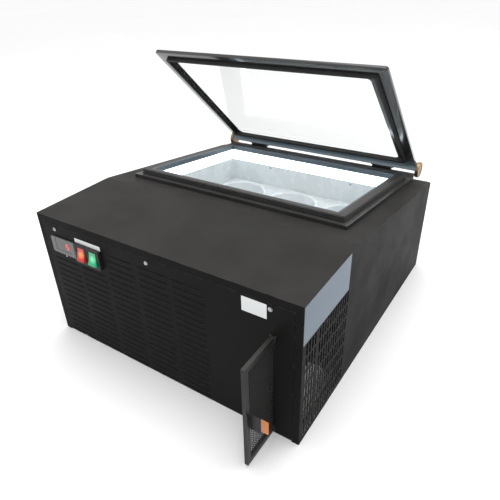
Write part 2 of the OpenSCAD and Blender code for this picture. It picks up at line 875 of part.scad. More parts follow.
// From the compressor's upper stub across to the condenser's first tube
module discharge_pipe() {
    x0 = can_x + can_r + 14;
    z0 = can_foot + 4 + can_h * 0.72;
    z1 = fin_z1 + 26;
    bend = 16;
    x1 = coil_x;
    y1 = fin_y1 + 4;
    union() {
        rod_x(x0, x0 + 14, can_y, z0, pipe_r);
        translate([x0 + 14, can_y, z0 + bend]) rotate([90, 0, 0]) rotate([0, 0, -90]) quarter(bend);
        translate([x0 + 14 + bend, can_y, z0 + bend]) cylinder(h = z1 - z0 - bend * 2, r = pipe_r);
        translate([x0 + 14 + bend * 2, can_y, z1 - bend]) rotate([90, 0, 0]) rotate([0, 0, 90])
            quarter(bend);
        rod_x(x0 + 14 + bend * 2, x1 - bend, can_y, z1, pipe_r);
        translate([x1 - bend, can_y + bend, z1]) rotate([0, 0, -90]) quarter(bend);
        rod_y(x1, can_y + bend, y1, z1, pipe_r);
        translate([x1, y1, (z1 + tube_z(tube_rows * 2 - 1)) / 2]) rotate([0, 90, 0])
            rotate_extrude(angle = 180)
            translate([(z1 - tube_z(tube_rows * 2 - 1)) / 2, 0]) circle(pipe_r, $fn = 24);
    }
}

module suction_pipe() {
    rod_y(can_x, can_y + can_r + 10, partition_y, can_foot + 4 + can_h * 0.35, pipe_r);
}

module refrigerant_pipes() {
    color("peru") {
        discharge_pipe();
        suction_pipe();
    }
}

// Copper cylinder with tapered ends between the last tube and the capillary
module dryer() {
    z = tube_z(0);
    y = fin_y1 + 4;
    x = coil_x - dryer_dx;
    color("peru") {
        translate([coil_x - dryer_bend, y, z]) quarter(dryer_bend);
        rod_x(x + dryer_bend, coil_x - dryer_bend, y + dryer_bend, z, pipe_r);
        translate([x + dryer_bend, y + dryer_bend, z + dryer_bend]) rotate([90, 0, 0])
            rotate([0, 0, 180]) quarter(dryer_bend);
        translate([x, y + dryer_bend, z + dryer_bend]) {
            cylinder(h = dryer_cone, r1 = pipe_r, r2 = dryer_r);
            translate([0, 0, dryer_cone]) cylinder(h = dryer_len, r = dryer_r);
            translate([0, 0, dryer_cone + dryer_len]) cylinder(h = dryer_cone, r1 = dryer_r, r2 = capillary_r);
            translate([0, 0, dryer_cone * 2 + dryer_len - 1]) cylinder(h = 7, r = capillary_r);
        }
        translate([x, y + dryer_bend, z + dryer_bend + dryer_cone * 2 + dryer_len + 4])
            rod_y(0, 0, partition_y - y - dryer_bend, 0, capillary_r);
    }
}

module partition() {
    low_half = inner_half - base_t - clear;
    color("silver") {
        translate([-low_half, partition_y, base_t])
            cube([low_half * 2, sheet_t, base_flange]);
        translate([-inner_half, partition_y, base_flange + clear])
            cube([inner_half * 2, sheet_t, machine_h - sheet_t - base_flange - clear]);
    }
}

module cord_gland() {
    color([0.08, 0.08, 0.08]) difference() {
        union() {
            rod_x(-half_w - 8, -half_w, gland_y, gland_z, gland_r);
            rod_x(-half_w, -half_w + 12, gland_y, gland_z, gland_neck_r);
        }
        rod_x(-half_w - 20, -half_w + 20, gland_y, gland_z, gland_bore_r);
    }
}

// ---------- Tank ----------

// Plan of the right side panel with its round rear corner
module side_plan(inset, more = 0) {
    x0 = half_w - panel_flange - more;
    y0 = seam_y - more;
    translate([x0, y0]) square([half_w - inset - x0, rear_y - rear_corner_r - y0]);
    translate([x0, y0]) square([half_w - rear_corner_r - x0, rear_y - inset - y0]);
    translate([half_w - rear_corner_r, rear_y - rear_corner_r]) circle(rear_corner_r - inset);
}

// Folded from one sheet: side, round rear corner and a flange along the sloping top
module side_panel() {
    difference() {
        intersection() {
            linear_extrude(machine_h + 1) side_plan(0);
            below_slope(0);
        }
        intersection() {
            translate([0, 0, -1]) linear_extrude(machine_h + 2) side_plan(sheet_t, 1);
            below_slope(-sheet_t);
        }
        translate([0, rear_y - sheet_t - 1, -1])
            cube([half_w - rear_corner_r, sheet_t + 2, rear_panel_h + 1]);
    }
}

module side_panel_left() {
    color([0.14, 0.14, 0.14]) mirror([1, 0, 0]) side_panel();
}

module side_panel_right() {
    color([0.14, 0.14, 0.14]) side_panel();
}

module rear_panel() {
    w = (half_w - rear_corner_r) * 2;
    color([0.14, 0.14, 0.14]) {
        translate([-w / 2, rear_y - sheet_t, 0])
            cube([w, sheet_t, rear_panel_h]);
        on_slope() translate([-half_w + panel_flange, mouth_rear + liner_t, -sheet_t])
            cube([body_w - panel_flange * 2, slope_len - mouth_rear - liner_t - eps, sheet_t]);
    }
}

module front_strip() {
    color([0.15, 0.15, 0.15]) on_slope()
        translate([-half_w + panel_flange, sheet_t * sin(slope), -sheet_t])
        cube([body_w - panel_flange * 2, mouth_front - liner_t - sheet_t * sin(slope), sheet_t]);
}

// One closed loop of the evaporator round the liner
module coil_loop(z) {
    x = outer_half + clear + coil_r;
    y0 = cavity_y0 - liner_t - clear - coil_r;
    y1 = cavity_y1 + liner_t + clear + coil_r;
    for (y = [y0, y1]) rod_x(-x + coil_bend, x - coil_bend, y, z, coil_r, $fn = 24);
    for (s = [-x, x]) rod_y(s, y0 + coil_bend, y1 - coil_bend, z, coil_r, $fn = 24);
    for (k = [[1, 1, 0], [-1, 1, 90], [-1, -1, 180], [1, -1, 270]]) {
        translate([k[0] * (x - coil_bend), k[1] > 0 ? y1 - coil_bend : y0 + coil_bend, z])
            rotate([0, 0, k[2]]) rotate_extrude(angle = 90)
            translate([coil_bend, 0]) circle(coil_r, $fn = 24);
    }
}

module evaporator_coil() {
    color("peru") for (z = coil_levels) coil_loop(z);
}

// Everything below the sloping plane at height n
module below_slope(n) {
    on_slope() translate([-half_w, -tank_d, n - 500]) cube([body_w, tank_d * 3, 500]);
}

// Block of foam that fills the tank's shell, hollow for the liner and its lights
module foam_block() {
    difference() {
        intersection() {
            translate([-inner_half, seam_y, base_t])
                cube([inner_half * 2, tank_d - sheet_t, machine_h]);
            below_slope(-sheet_t);
        }
        tub(liner_t, floor_h - liner_t);
        on_slope() mouth_ring(-200, led_t, led_bottom, 20);
        for (x = [-1, 1]) {
            translate([x * (half_w - rear_corner_r), rear_y - rear_corner_r, 0]) difference() {
                translate([x > 0 ? 0 : -50, 0, -1]) cube([50, 50, machine_h]);
                translate([0, 0, -1]) cylinder(h = machine_h + 2, r = rear_corner_r - sheet_t);
            }
        }
        translate([-inner_half - 1, seam_y - 1, 0]) cube([base_t + 1, tank_d, base_flange]);
        translate([inner_half - base_t, seam_y - 1, 0]) cube([base_t + 1, tank_d, base_flange]);
        translate([-inner_half, rear_y - sheet_t - base_t, 0])
            cube([inner_half * 2, base_t + 1, base_flange]);
        for (x = [-1, 1]) translate([x * inner_half, rear_y - sheet_t, 0])
            cylinder(h = base_flange * 2, r = rear_corner_r + base_t, center = true);
    }
}

// A floor slab and four mitred wall slabs, with channels for the evaporator
module insulation() {
    low = floor_h - liner_t;
    color([0.93, 0.9, 0.75]) {
        intersection() {
            foam_block();
            translate([-half_w, front_y, 0]) cube([body_w, body_d, low]);
        }
        mitred(outer_half, cavity_y0 - liner_t, cavity_y1 + liner_t) difference() {
            foam_block();
            translate([-half_w, front_y, -1]) cube([body_w, body_d, low + mitre_gap + 1]);
            evaporator_coil();
        }
    }
}

// Upright block with round corners, the inside of the tank grown on all sides
module tub(grow, low) {
    translate([0, 0, low]) linear_extrude(machine_h)
        round_rect(-cavity_half - grow, cavity_y0 - grow, cavity_half + grow, cavity_y1 + grow,
            cavity_r + grow);
}

// Tub with a ledge at the front and rear wall that carries the rack plates
module liner() {
    color("white") intersection() {
        difference() {
            tub(liner_t, floor_h - liner_t);
            translate([-cavity_half, cavity_y0 + ledge_t, floor_h])
                cube([cavity_w, cavity_len - ledge_t * 2, machine_h]);
            tub(0, rack_h - plate_edge);
        }
        below_slope(led_bottom);
    }
}

module lamp_band() {
    color([0.95, 0.98, 1]) mouth_bars() mouth_ring(0, led_t, led_bottom, led_top, mouth_r, 0.5);
}

module breaker() {
    top = foot_h + collar_h;
    color([0.3, 0.36, 0.42]) mouth_bars() {
        mouth_ring(0, led_t, led_top, led_top + (top - led_top) * 0.45, mouth_r, 0.5);
        mouth_ring(breaker_rib, led_t, led_top + (top - led_top) * 0.45,
            led_top + (top - led_top) * 0.6, mouth_r, 0.5);
        mouth_ring(0, led_t, led_top + (top - led_top) * 0.6, top, mouth_r, 0.5);
    }
}

// Ring of the collar round the mouth, out to a given half width and rear line
module collar_ring(outer, rear, low, high, r = 3) {
    translate([0, 0, low]) linear_extrude(high - low) difference() {
        round_rect(-outer, collar_front + collar_half - outer, outer, rear, r);
        round_rect(-cavity_half - led_t, mouth_front - led_t, cavity_half + led_t,
            mouth_rear + led_t, 0.5);
    }
}

module collar_foot() {
    color([0.05, 0.05, 0.05]) mouth_bars() collar_ring(collar_half, collar_rear, 0, foot_h);
}

// Frame with ribs round its outer faces and grooves along its top
module collar_frame() {
    step = collar_h / (collar_rib_count * 2 + 1);
    top = foot_h + collar_h;
    rear = collar_rear - frame_rear_step;
    color([0.08, 0.08, 0.08]) mouth_bars() difference() {
        union() {
            collar_ring(frame_half - collar_rib, rear - collar_rib, foot_h, top);
            for (k = [0 : collar_rib_count - 1]) {
                collar_ring(frame_half, rear, foot_h + (k * 2 + 1) * step, foot_h + (k * 2 + 2) * step);
            }
        }
        for (out = grooves) {
            mouth_ring(led_t + out, led_t + out + groove_w, top - groove_d, top + 1, 2, 2);
        }
    }
}

module rack_plate(k) {
    x0 = -cavity_half + k * pan_pitch_x + plate_gap / 2;
    y0 = cavity_y0 + plate_gap / 2;
    len = cavity_len - plate_gap;
    difference() {
        intersection() {
            translate([x0, y0, rack_h - plate_edge]) cube([plate_w, len, plate_edge]);
            tub(-plate_gap / 2, rack_h - plate_edge);
        }
        intersection() {
            translate([x0 + plate_t, y0 + plate_t, rack_h - plate_edge - 1])
                cube([plate_w - plate_t * 2, len - plate_t * 2, plate_edge + 1 - plate_t]);
            tub(-plate_gap / 2 - plate_t, rack_h - plate_edge - 1);
        }
        for (row = [0 : pan_rows - 1]) {
            translate([x0 + plate_w / 2, cavity_y0 + (row + 0.5) * pan_pitch_y, 0])
                cylinder(h = machine_h, r = pan_hole_r, $fn = 128);
        }
    }
}

module rack_plate_1() { color("white") rack_plate(0); }
module rack_plate_2() { color("white") rack_plate(1); }
module rack_plate_3() { color("white") rack_plate(2); }

module pan(k) {
    col = k % plate_count;
    row = floor(k / plate_count);
    color("white")
        translate([-cavity_half + (col + 0.5) * pan_pitch_x, cavity_y0 + (row + 0.5) * pan_pitch_y, rack_h])
        rotate_extrude($fn = 128) polygon(concat([[0, rim_t - pan_depth],
            [0, rim_t - pan_depth + pan_wall], [pan_low_r - pan_wall, rim_t - pan_depth + pan_wall],
            [pan_top_r - pan_wall, rim_t]], rim_bead,
            [[pan_top_r, rim_t - pan_wall], [pan_low_r, rim_t - pan_depth]]));
}

module pan_1() { pan(0); }
module pan_2() { pan(1); }
module pan_3() { pan(2); }
module pan_4() { pan(3); }
module pan_5() { pan(4); }
module pan_6() { pan(5); }

// ---------- Hinge ----------

// Angle strip on the rear edge of the top
module hinge_strip() {
    color([0.3, 0.28, 0.26]) on_slope() {
        translate([-strip_half, strip_y, 0]) cube([strip_half * 2, strip_t, strip_top]);
        translate([-strip_half, strip_y - strip_foot, 0]) cube([strip_half * 2, strip_foot, 2]);
    }
}

// Block in front of the strip, rising to a knuckle round the hinge pin
module hinge_blocks() {
    color([0.06, 0.06, 0.06]) on_slope() for (x = [-hinge_x, hinge_x]) {
        translate([x, 0, 0]) difference() {
            union() {
                along_x(hinge_w) polygon([[strip_y - block_d, 2], [strip_y, 2], [strip_y, strip_top],
                    [hinge_v + 2, strip_top], [hinge_v + 2, hinge_rise], [strip_y - block_d, block_top]]);
                rod_x(-hinge_w / 2, hinge_w / 2, hinge_v, hinge_rise, knuckle_r);
            }
            rod_x(-hinge_w, hinge_w, hinge_v, hinge_rise, pin_r + pin_gap);
        }
    }
}

module hinge_screws() {
    color("silver") on_slope() for (x = [-hinge_x, hinge_x], dx = [-hinge_screw_dx, hinge_screw_dx]) {
        rod_y(x + dx, strip_y - block_d - hinge_screw_h, strip_y - block_d, strip_top / 2 + 2,
            hinge_screw_r);
    }
}

module hinge_pins() {
    len = hinge_w / 2 + side_gap + rail_web_t;
    color("silver") on_lid() for (x = [-hinge_x, hinge_x]) rod_x(x - len, x + len, 0, 0, pin_r);
}

// Area from one angle to the other, measured upwards from the lid's front
module sector(r, from, to) {
    polygon(concat([[0, 0]], [for (k = [0 : 6]) let (a = from + (to - from) * k / 6)
        [-r * cos(a), r * sin(a)]]));
}

// Part of the rail's profile between its angles: a band, or a full slice
module rail_slice(r_in) {
    intersection() {
        difference() {
            circle(rail_r, $fn = 96);
            circle(r_in, $fn = 96);
        }
        sector(rail_r * 3, -rail_from, rail_to);
    }
}

// Curved rail over the hinges, with a tongue for the frame and a web beside each block
module lid_rail() {
    len = lid_half * 2;
    web_x = hinge_w / 2 + side_gap + rail_web_t / 2;
    color([0.05, 0.05, 0.05]) on_lid() {
        along_x(len) {
            rail_slice(rail_r - rail_t);
            difference() {
                translate([-frame_tail, lid_low]) square([frame_tail, lid_t]);
                circle(rail_r - rail_t / 2, $fn = 96);
            }
        }
        for (x = [-hinge_x, hinge_x], s = [-web_x, web_x]) {
            translate([x + s, 0, 0]) difference() {
                along_x(rail_web_t) {
                    intersection() {
                        circle(rail_r - rail_t / 2, $fn = 96);
                        sector(rail_r * 3, -rail_from, rail_to);
                    }
                    circle(hub_r);
                }
                rod_x(-rail_web_t, rail_web_t, 0, 0, pin_r);
            }
        }
    }
}

module rail_caps() {
    color([0.36, 0.3, 0.22]) on_lid() for (s = [-1, 1]) {
        rod_x(s > 0 ? lid_half : -lid_half - cap_t, s > 0 ? lid_half + cap_t : -lid_half,
            0, 0, cap_r, $fn = 96);
    }
}

// ---------- Lid ----------

// Lid outline from the rear line to the front edge, shrunk by inset
module lid_area(inset, rear, r) {
    round_rect(-lid_half + inset, -lid_len + inset, lid_half - inset, -rear, r);
}

module lid_frame() {
    color([0.05, 0.05, 0.05]) on_lid() difference() {
        translate([0, 0, lid_low]) linear_extrude(lid_t) lid_area(0, frame_tail, lid_r);
        translate([0, 0, lid_low - 1]) linear_extrude(lid_t + 2)
            lid_area(lid_bar, clear_rear, 2);
        translate([0, 0, lid_low + lid_t - glass_set - glass_t]) linear_extrude(glass_t + glass_set + 1)
            lid_area(lid_bar - rebate, clear_rear - rebate, 2);
    }
}

module lid_glass() {
    color([0.85, 0.93, 0.95, 0.3]) on_lid()
        translate([0, 0, lid_low + lid_t - glass_set - glass_t]) linear_extrude(glass_t)
        lid_area(lid_bar - rebate, clear_rear - rebate, 2);
}

// Seal under the frame that meets the top of the collar
module lid_gasket() {
    color([0.06, 0.06, 0.06]) on_lid() translate([0, 0, lid_low - seal_h])
        linear_extrude(seal_h) difference() {
            lid_area(lid_bar - seal_w, clear_rear - seal_w, 3);
            lid_area(lid_bar, clear_rear, 2);
        }
}

// Dark border under the glass, flush with the frame's inner edge
module glass_border() {
    color([0.04, 0.04, 0.04]) on_lid()
        translate([0, 0, lid_low + lid_t - glass_set - glass_t - border_t]) linear_extrude(border_t)
        difference() {
            lid_area(lid_bar, clear_rear, 2);
            lid_area(lid_bar + border_w, clear_rear + 2, border_r);
        }
}

base_pan();
machine_casing();
front_panel();
panel_screws();
thermostat_body();
thermostat_bezel();
thermostat_window();
switch_block();
red_rocker();
green_rocker();
filter_frame();
filter_mesh();
filter_tab();
filter_rails();
condenser_fins();
condenser_tubes();
condenser_plates();
air_baffle();
fan_shroud();
fan_motor();
fan_blades();
compressor();
compressor_foot();
compressor_grommets();
compressor_bolts();
terminal_cover();
dryer();
refrigerant_pipes();
partition();
cord_gland();
side_panel_left();
side_panel_right();
rear_panel();
front_strip();
insulation();
evaporator_coil();
liner();
lamp_band();
breaker();
collar_foot();
collar_frame();
rack_plate_1();
rack_plate_2();
rack_plate_3();
pan_1();
pan_2();
pan_3();
pan_4();
pan_5();
pan_6();
hinge_strip();
hinge_blocks();
hinge_screws();
hinge_pins();
lid_rail();
rail_caps();
lid_frame();
lid_glass();
glass_border();
lid_gasket();
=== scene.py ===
import json
import math

import bmesh
import bpy
from mathutils import Matrix, Vector


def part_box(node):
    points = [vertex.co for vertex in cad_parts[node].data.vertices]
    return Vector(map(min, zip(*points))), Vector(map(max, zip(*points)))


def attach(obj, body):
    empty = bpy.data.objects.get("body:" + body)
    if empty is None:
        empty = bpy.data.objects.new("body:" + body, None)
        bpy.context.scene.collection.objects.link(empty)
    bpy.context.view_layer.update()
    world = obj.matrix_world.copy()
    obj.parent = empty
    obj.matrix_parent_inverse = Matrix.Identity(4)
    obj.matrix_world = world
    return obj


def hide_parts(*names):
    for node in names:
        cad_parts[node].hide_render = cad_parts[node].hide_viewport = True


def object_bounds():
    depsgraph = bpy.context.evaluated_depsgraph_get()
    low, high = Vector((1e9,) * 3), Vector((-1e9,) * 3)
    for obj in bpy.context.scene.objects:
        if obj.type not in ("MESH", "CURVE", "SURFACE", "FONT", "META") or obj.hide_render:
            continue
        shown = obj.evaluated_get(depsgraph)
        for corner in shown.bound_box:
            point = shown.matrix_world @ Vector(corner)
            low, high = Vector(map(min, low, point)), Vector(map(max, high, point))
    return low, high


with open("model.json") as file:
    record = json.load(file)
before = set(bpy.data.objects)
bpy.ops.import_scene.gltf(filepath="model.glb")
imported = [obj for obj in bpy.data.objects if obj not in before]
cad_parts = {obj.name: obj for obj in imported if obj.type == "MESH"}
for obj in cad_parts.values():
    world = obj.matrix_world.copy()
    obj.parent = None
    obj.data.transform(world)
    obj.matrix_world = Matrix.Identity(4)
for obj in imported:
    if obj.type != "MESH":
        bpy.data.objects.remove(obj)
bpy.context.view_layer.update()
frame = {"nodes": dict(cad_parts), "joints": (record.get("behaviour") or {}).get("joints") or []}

MM = 0.001
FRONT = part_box("machine_casing")[0].y
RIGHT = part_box("machine_casing")[1].x
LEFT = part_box("machine_casing")[0].x


def middle(node):
    """Centre of a node's box."""
    low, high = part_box(node)
    return (low + high) / 2


# ---------------------------------------------------------------- selection and shaping

def at_rest():
    """Leaves edit mode with nothing selected."""
    if bpy.context.object and bpy.context.object.mode != "OBJECT":
        bpy.ops.object.mode_set(mode="OBJECT")
    bpy.ops.object.select_all(action="DESELECT")


def open_mesh(piece):
    """Goes into edit mode on one piece with nothing of it selected."""
    at_rest()
    piece.select_set(True)
    bpy.context.view_layer.objects.active = piece
    bpy.ops.object.mode_set(mode="EDIT")
    bpy.ops.mesh.select_mode(type="FACE")
    bpy.ops.mesh.select_all(action="DESELECT")


def pick_faces(piece, wanted):
    """Selects the faces for which wanted(centre, normal) is true, in edit mode."""
    mesh = bmesh.from_edit_mesh(piece.data)
    bpy.ops.mesh.select_mode(type="FACE")
    for face in mesh.faces:
        face.select_set(bool(wanted(face.calc_center_median(), face.normal)))
    mesh.select_flush(True)
    bmesh.update_edit_mesh(piece.data)


def pick_edges(piece, wanted):
    """Selects the edges for which wanted(one end, other end) is true, in edit mode."""
    mesh = bmesh.from_edit_mesh(piece.data)
    bpy.ops.mesh.select_mode(type="EDGE")
    for edge in mesh.edges:
        edge.select_set(bool(wanted(edge.verts[0].co, edge.verts[1].co)))
    bmesh.update_edit_mesh(piece.data)


def close_mesh(piece, recalc=False):
    """Leaves edit mode, with all faces turned outwards if asked."""
    if recalc:
        bpy.ops.mesh.select_all(action="SELECT")
        bpy.ops.mesh.remove_doubles(threshold=1e-6)
        bpy.ops.mesh.normals_make_consistent(inside=False)
    bpy.ops.object.mode_set(mode="OBJECT")


def settle(piece):
    """Puts a piece's place into its mesh."""
    at_rest()
    piece.select_set(True)
    bpy.context.view_layer.objects.active = piece
    bpy.ops.object.transform_apply(location=True, rotation=True, scale=True)


def harden(piece, modifier, **values):
    """Adds a modifier with its values and applies it."""
    at_rest()
    piece.select_set(True)
    bpy.context.view_layer.objects.active = piece
    layer = piece.modifiers.new(modifier.title(), modifier)
    for key, value in values.items():
        setattr(layer, key, value)
    bpy.ops.object.modifier_apply(modifier=layer.name)


def smooth(piece, angle=35):
    at_rest()
    piece.select_set(True)
    bpy.context.view_layer.objects.active = piece
    bpy.ops.object.shade_smooth_by_angle(angle=math.radians(angle))


def block(name, low, high):
    """A box from corner to corner, as the start of a piece."""
    at_rest()
    low, high = Vector(low), Vector(high)
    bpy.ops.mesh.primitive_cube_add(size=1, location=(low + high) / 2)
    piece = bpy.context.object
    piece.name = name
    piece.scale = high - low
    settle(piece)
    return piece


def turned(name, radius, length, centre, along=(0, 0, 1), sides=64):
    """A cylinder along an axis, as the start of a piece."""
    at_rest()
    turn = Vector(along).to_track_quat("Z", "Y").to_euler()
    bpy.ops.mesh.primitive_cylinder_add(
        vertices=sides, radius=radius, depth=length, location=centre, rotation=turn)
    piece = bpy.context.object
    piece.name = name
    settle(piece)
    return piece


def one_piece(name, parts):
    """Joins several meshes into one piece."""
    at_rest()
    for part in parts:
        part.select_set(True)
    bpy.context.view_layer.objects.active = parts[0]
    bpy.ops.object.join()
    parts[0].name = name
    return parts[0]


def fit(piece, body, finish, slot, *nodes):
    """Gives a piece its finish and body and hides the CAD nodes it stands for."""
    piece.data.materials.clear()
    piece.data.materials.append(finish)
    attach(piece, body)
    if nodes:
        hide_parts(*nodes)
    return piece


# ---------------------------------------------------------------- the sloping top and the lid

JOINTS = {joint["name"]: joint for joint in frame["joints"]}
HINGE = Vector(JOINTS["lid_hinge"]["pos_m"])
SEAM_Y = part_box("machine_casing")[1].y
TOP_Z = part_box("machine_casing")[1].z
REAR_TOP = 0.266
SLOPE = math.atan2(TOP_Z - REAR_TOP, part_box("side_panel_right")[1].y - SEAM_Y)
LID_OPEN = math.radians(34.7)
ON_SLOPE = Matrix.Translation((0, SEAM_Y, TOP_Z)) @ Matrix.Rotation(-SLOPE, 4, "X")
ON_LID = Matrix.Translation(HINGE) @ Matrix.Rotation(-SLOPE - LID_OPEN, 4, "X")


def place(piece, matrix):
    """Moves a finished mesh to the slope or the lid."""
    piece.data.transform(matrix)
    piece.data.update()
    return piece


# ---------------------------------------------------------------- surface effects

def new_group(name, inputs, outputs):
    group = bpy.data.node_groups.new(name, "ShaderNodeTree")
    for label, kind, value in inputs:
        socket = group.interface.new_socket(name=label, in_out="INPUT", socket_type=kind)
        socket.default_value = value
    for label, kind in outputs:
        group.interface.new_socket(name=label, in_out="OUTPUT", socket_type=kind)
    return group, group.nodes.new("NodeGroupInput"), group.nodes.new("NodeGroupOutput")


def noise_in(group, scale, detail, rough=0.55):
    node = group.nodes.new("ShaderNodeTexNoise")
    node.inputs["Scale"].default_value = scale
    node.inputs["Detail"].default_value = detail
    node.inputs["Roughness"].default_value = rough
    return node


def ramp_in(group, low, high):
    node = group.nodes.new("ShaderNodeMapRange")
    node.inputs["From Min"].default_value = low
    node.inputs["From Max"].default_value = high
    node.clamp = True
    return node


def make_grain():
    """Fine grain as a height, and slow clouds as a tone."""
    group, given, result = new_group(
        "surface_grain",
        [("Grain Scale", "NodeSocketFloat", 900.0), ("Cloud Scale", "NodeSocketFloat", 9.0)],
        [("Height", "NodeSocketFloat"), ("Tone", "NodeSocketFloat"), ("Speck", "NodeSocketFloat")])
    place_at = group.nodes.new("ShaderNodeTexCoord")
    fine = noise_in(group, 900, 3, 0.6)
    cloud = noise_in(group, 9, 4, 0.6)
    tone = ramp_in(group, 0.3, 0.7)
    speck = ramp_in(group, 0.62, 0.74)
    link = group.links.new
    link(place_at.outputs["Object"], fine.inputs["Vector"])
    link(place_at.outputs["Object"], cloud.inputs["Vector"])
    link(given.outputs["Grain Scale"], fine.inputs["Scale"])
    link(given.outputs["Cloud Scale"], cloud.inputs["Scale"])
    link(fine.outputs["Fac"], result.inputs["Height"])
    link(fine.outputs["Fac"], speck.inputs["Value"])
    link(speck.outputs["Result"], result.inputs["Speck"])
    link(cloud.outputs["Fac"], tone.inputs["Value"])
    link(tone.outputs["Result"], result.inputs["Tone"])
    return group


def make_edge_wear():
    """A broken line of wear along sharp edges."""
    group, given, result = new_group(
        "edge_wear",
        [("Width", "NodeSocketFloat", 0.0012), ("Break Up", "NodeSocketFloat", 60.0)],
        [("Mask", "NodeSocketFloat")])
    place_at = group.nodes.new("ShaderNodeTexCoord")
    round_off = group.nodes.new("ShaderNodeBevel")
    round_off.samples = 4
    shape = group.nodes.new("ShaderNodeNewGeometry")
    facing = group.nodes.new("ShaderNodeVectorMath")
    facing.operation = "DOT_PRODUCT"
    edge = ramp_in(group, 0.995, 0.9)
    patch = noise_in(group, 60, 3, 0.6)
    broken = ramp_in(group, 0.42, 0.62)
    both = group.nodes.new("ShaderNodeMath")
    both.operation = "MULTIPLY"
    link = group.links.new
    link(given.outputs["Width"], round_off.inputs["Radius"])
    link(round_off.outputs["Normal"], facing.inputs[0])
    link(shape.outputs["Normal"], facing.inputs[1])
    link(facing.outputs["Value"], edge.inputs["Value"])
    link(place_at.outputs["Object"], patch.inputs["Vector"])
    link(given.outputs["Break Up"], patch.inputs["Scale"])
    link(patch.outputs["Fac"], broken.inputs["Value"])
    link(edge.outputs["Result"], both.inputs[0])
    link(broken.outputs["Result"], both.inputs[1])
    link(both.outputs["Value"], result.inputs["Mask"])
    return group


def make_dust():
    """Dust that lies on faces that look up."""
    group, given, result = new_group(
        "settled_dust",
        [("Amount", "NodeSocketFloat", 0.3), ("Patch Scale", "NodeSocketFloat", 14.0)],
        [("Mask", "NodeSocketFloat")])
    place_at = group.nodes.new("ShaderNodeTexCoord")
    shape = group.nodes.new("ShaderNodeNewGeometry")
    split = group.nodes.new("ShaderNodeSeparateXYZ")
    up = ramp_in(group, 0.6, 0.98)
    patch = noise_in(group, 14, 5, 0.65)
    thin = ramp_in(group, 0.35, 0.75)
    thin.inputs["To Min"].default_value = 0.7
    both = group.nodes.new("ShaderNodeMath")
    both.operation = "MULTIPLY"
    share = group.nodes.new("ShaderNodeMath")
    share.operation = "MULTIPLY"
    link = group.links.new
    link(shape.outputs["Normal"], split.inputs[0])
    link(split.outputs["Z"], up.inputs["Value"])
    link(place_at.outputs["Object"], patch.inputs["Vector"])
    link(given.outputs["Patch Scale"], patch.inputs["Scale"])
    link(patch.outputs["Fac"], thin.inputs["Value"])
    link(up.outputs["Result"], both.inputs[0])
    link(thin.outputs["Result"], both.inputs[1])
    link(both.outputs["Value"], share.inputs[0])
    link(given.outputs["Amount"], share.inputs[1])
    link(share.outputs["Value"], result.inputs["Mask"])
    return group


def make_hot_spot():
    """A soft round spot, brightest at its centre."""
    group, given, result = new_group(
        "hot_spot",
        [("Centre", "NodeSocketVector", (0.0, 0.0, 0.0)), ("Radius", "NodeSocketFloat", 0.01)],
        [("Mask", "NodeSocketFloat")])
    place_at = group.nodes.new("ShaderNodeTexCoord")
    away = group.nodes.new("ShaderNodeVectorMath")
    away.operation = "DISTANCE"
    share = group.nodes.new("ShaderNodeMath")
    share.operation = "DIVIDE"
    near = ramp_in(group, 1.0, 0.15)
    link = group.links.new
    link(place_at.outputs["Object"], away.inputs[0])
    link(given.outputs["Centre"], away.inputs[1])
    link(away.outputs["Value"], share.inputs[0])
    link(given.outputs["Radius"], share.inputs[1])
    link(share.outputs["Value"], near.inputs["Value"])
    link(near.outputs["Result"], result.inputs["Mask"])
    return group


def make_drawn_lines():
    """Fine lines along one axis, as on brushed or drawn metal."""
    group, given, result = new_group(
        "drawn_lines",
        [("Stretch", "NodeSocketVector", (4.0, 400.0, 400.0))],
        [("Height", "NodeSocketFloat"), ("Tone", "NodeSocketFloat")])
    place_at = group.nodes.new("ShaderNodeTexCoord")
    scaled = group.nodes.new("ShaderNodeVectorMath")
    scaled.operation = "MULTIPLY"
    lines = noise_in(group, 1.0, 4, 0.7)
    tone = ramp_in(group, 0.35, 0.65)
    link = group.links.new
    link(place_at.outputs["Object"], scaled.inputs[0])
    link(given.outputs["Stretch"], scaled.inputs[1])
    link(scaled.outputs["Vector"], lines.inputs["Vector"])
    link(lines.outputs["Fac"], result.inputs["Height"])
    link(lines.outputs["Fac"], tone.inputs["Value"])
    link(tone.outputs["Result"], result.inputs["Tone"])
    return group


GRAIN = make_grain()
EDGE_WEAR = make_edge_wear()
DUST = make_dust()
DRAWN = make_drawn_lines()
HOT_SPOT = make_hot_spot()


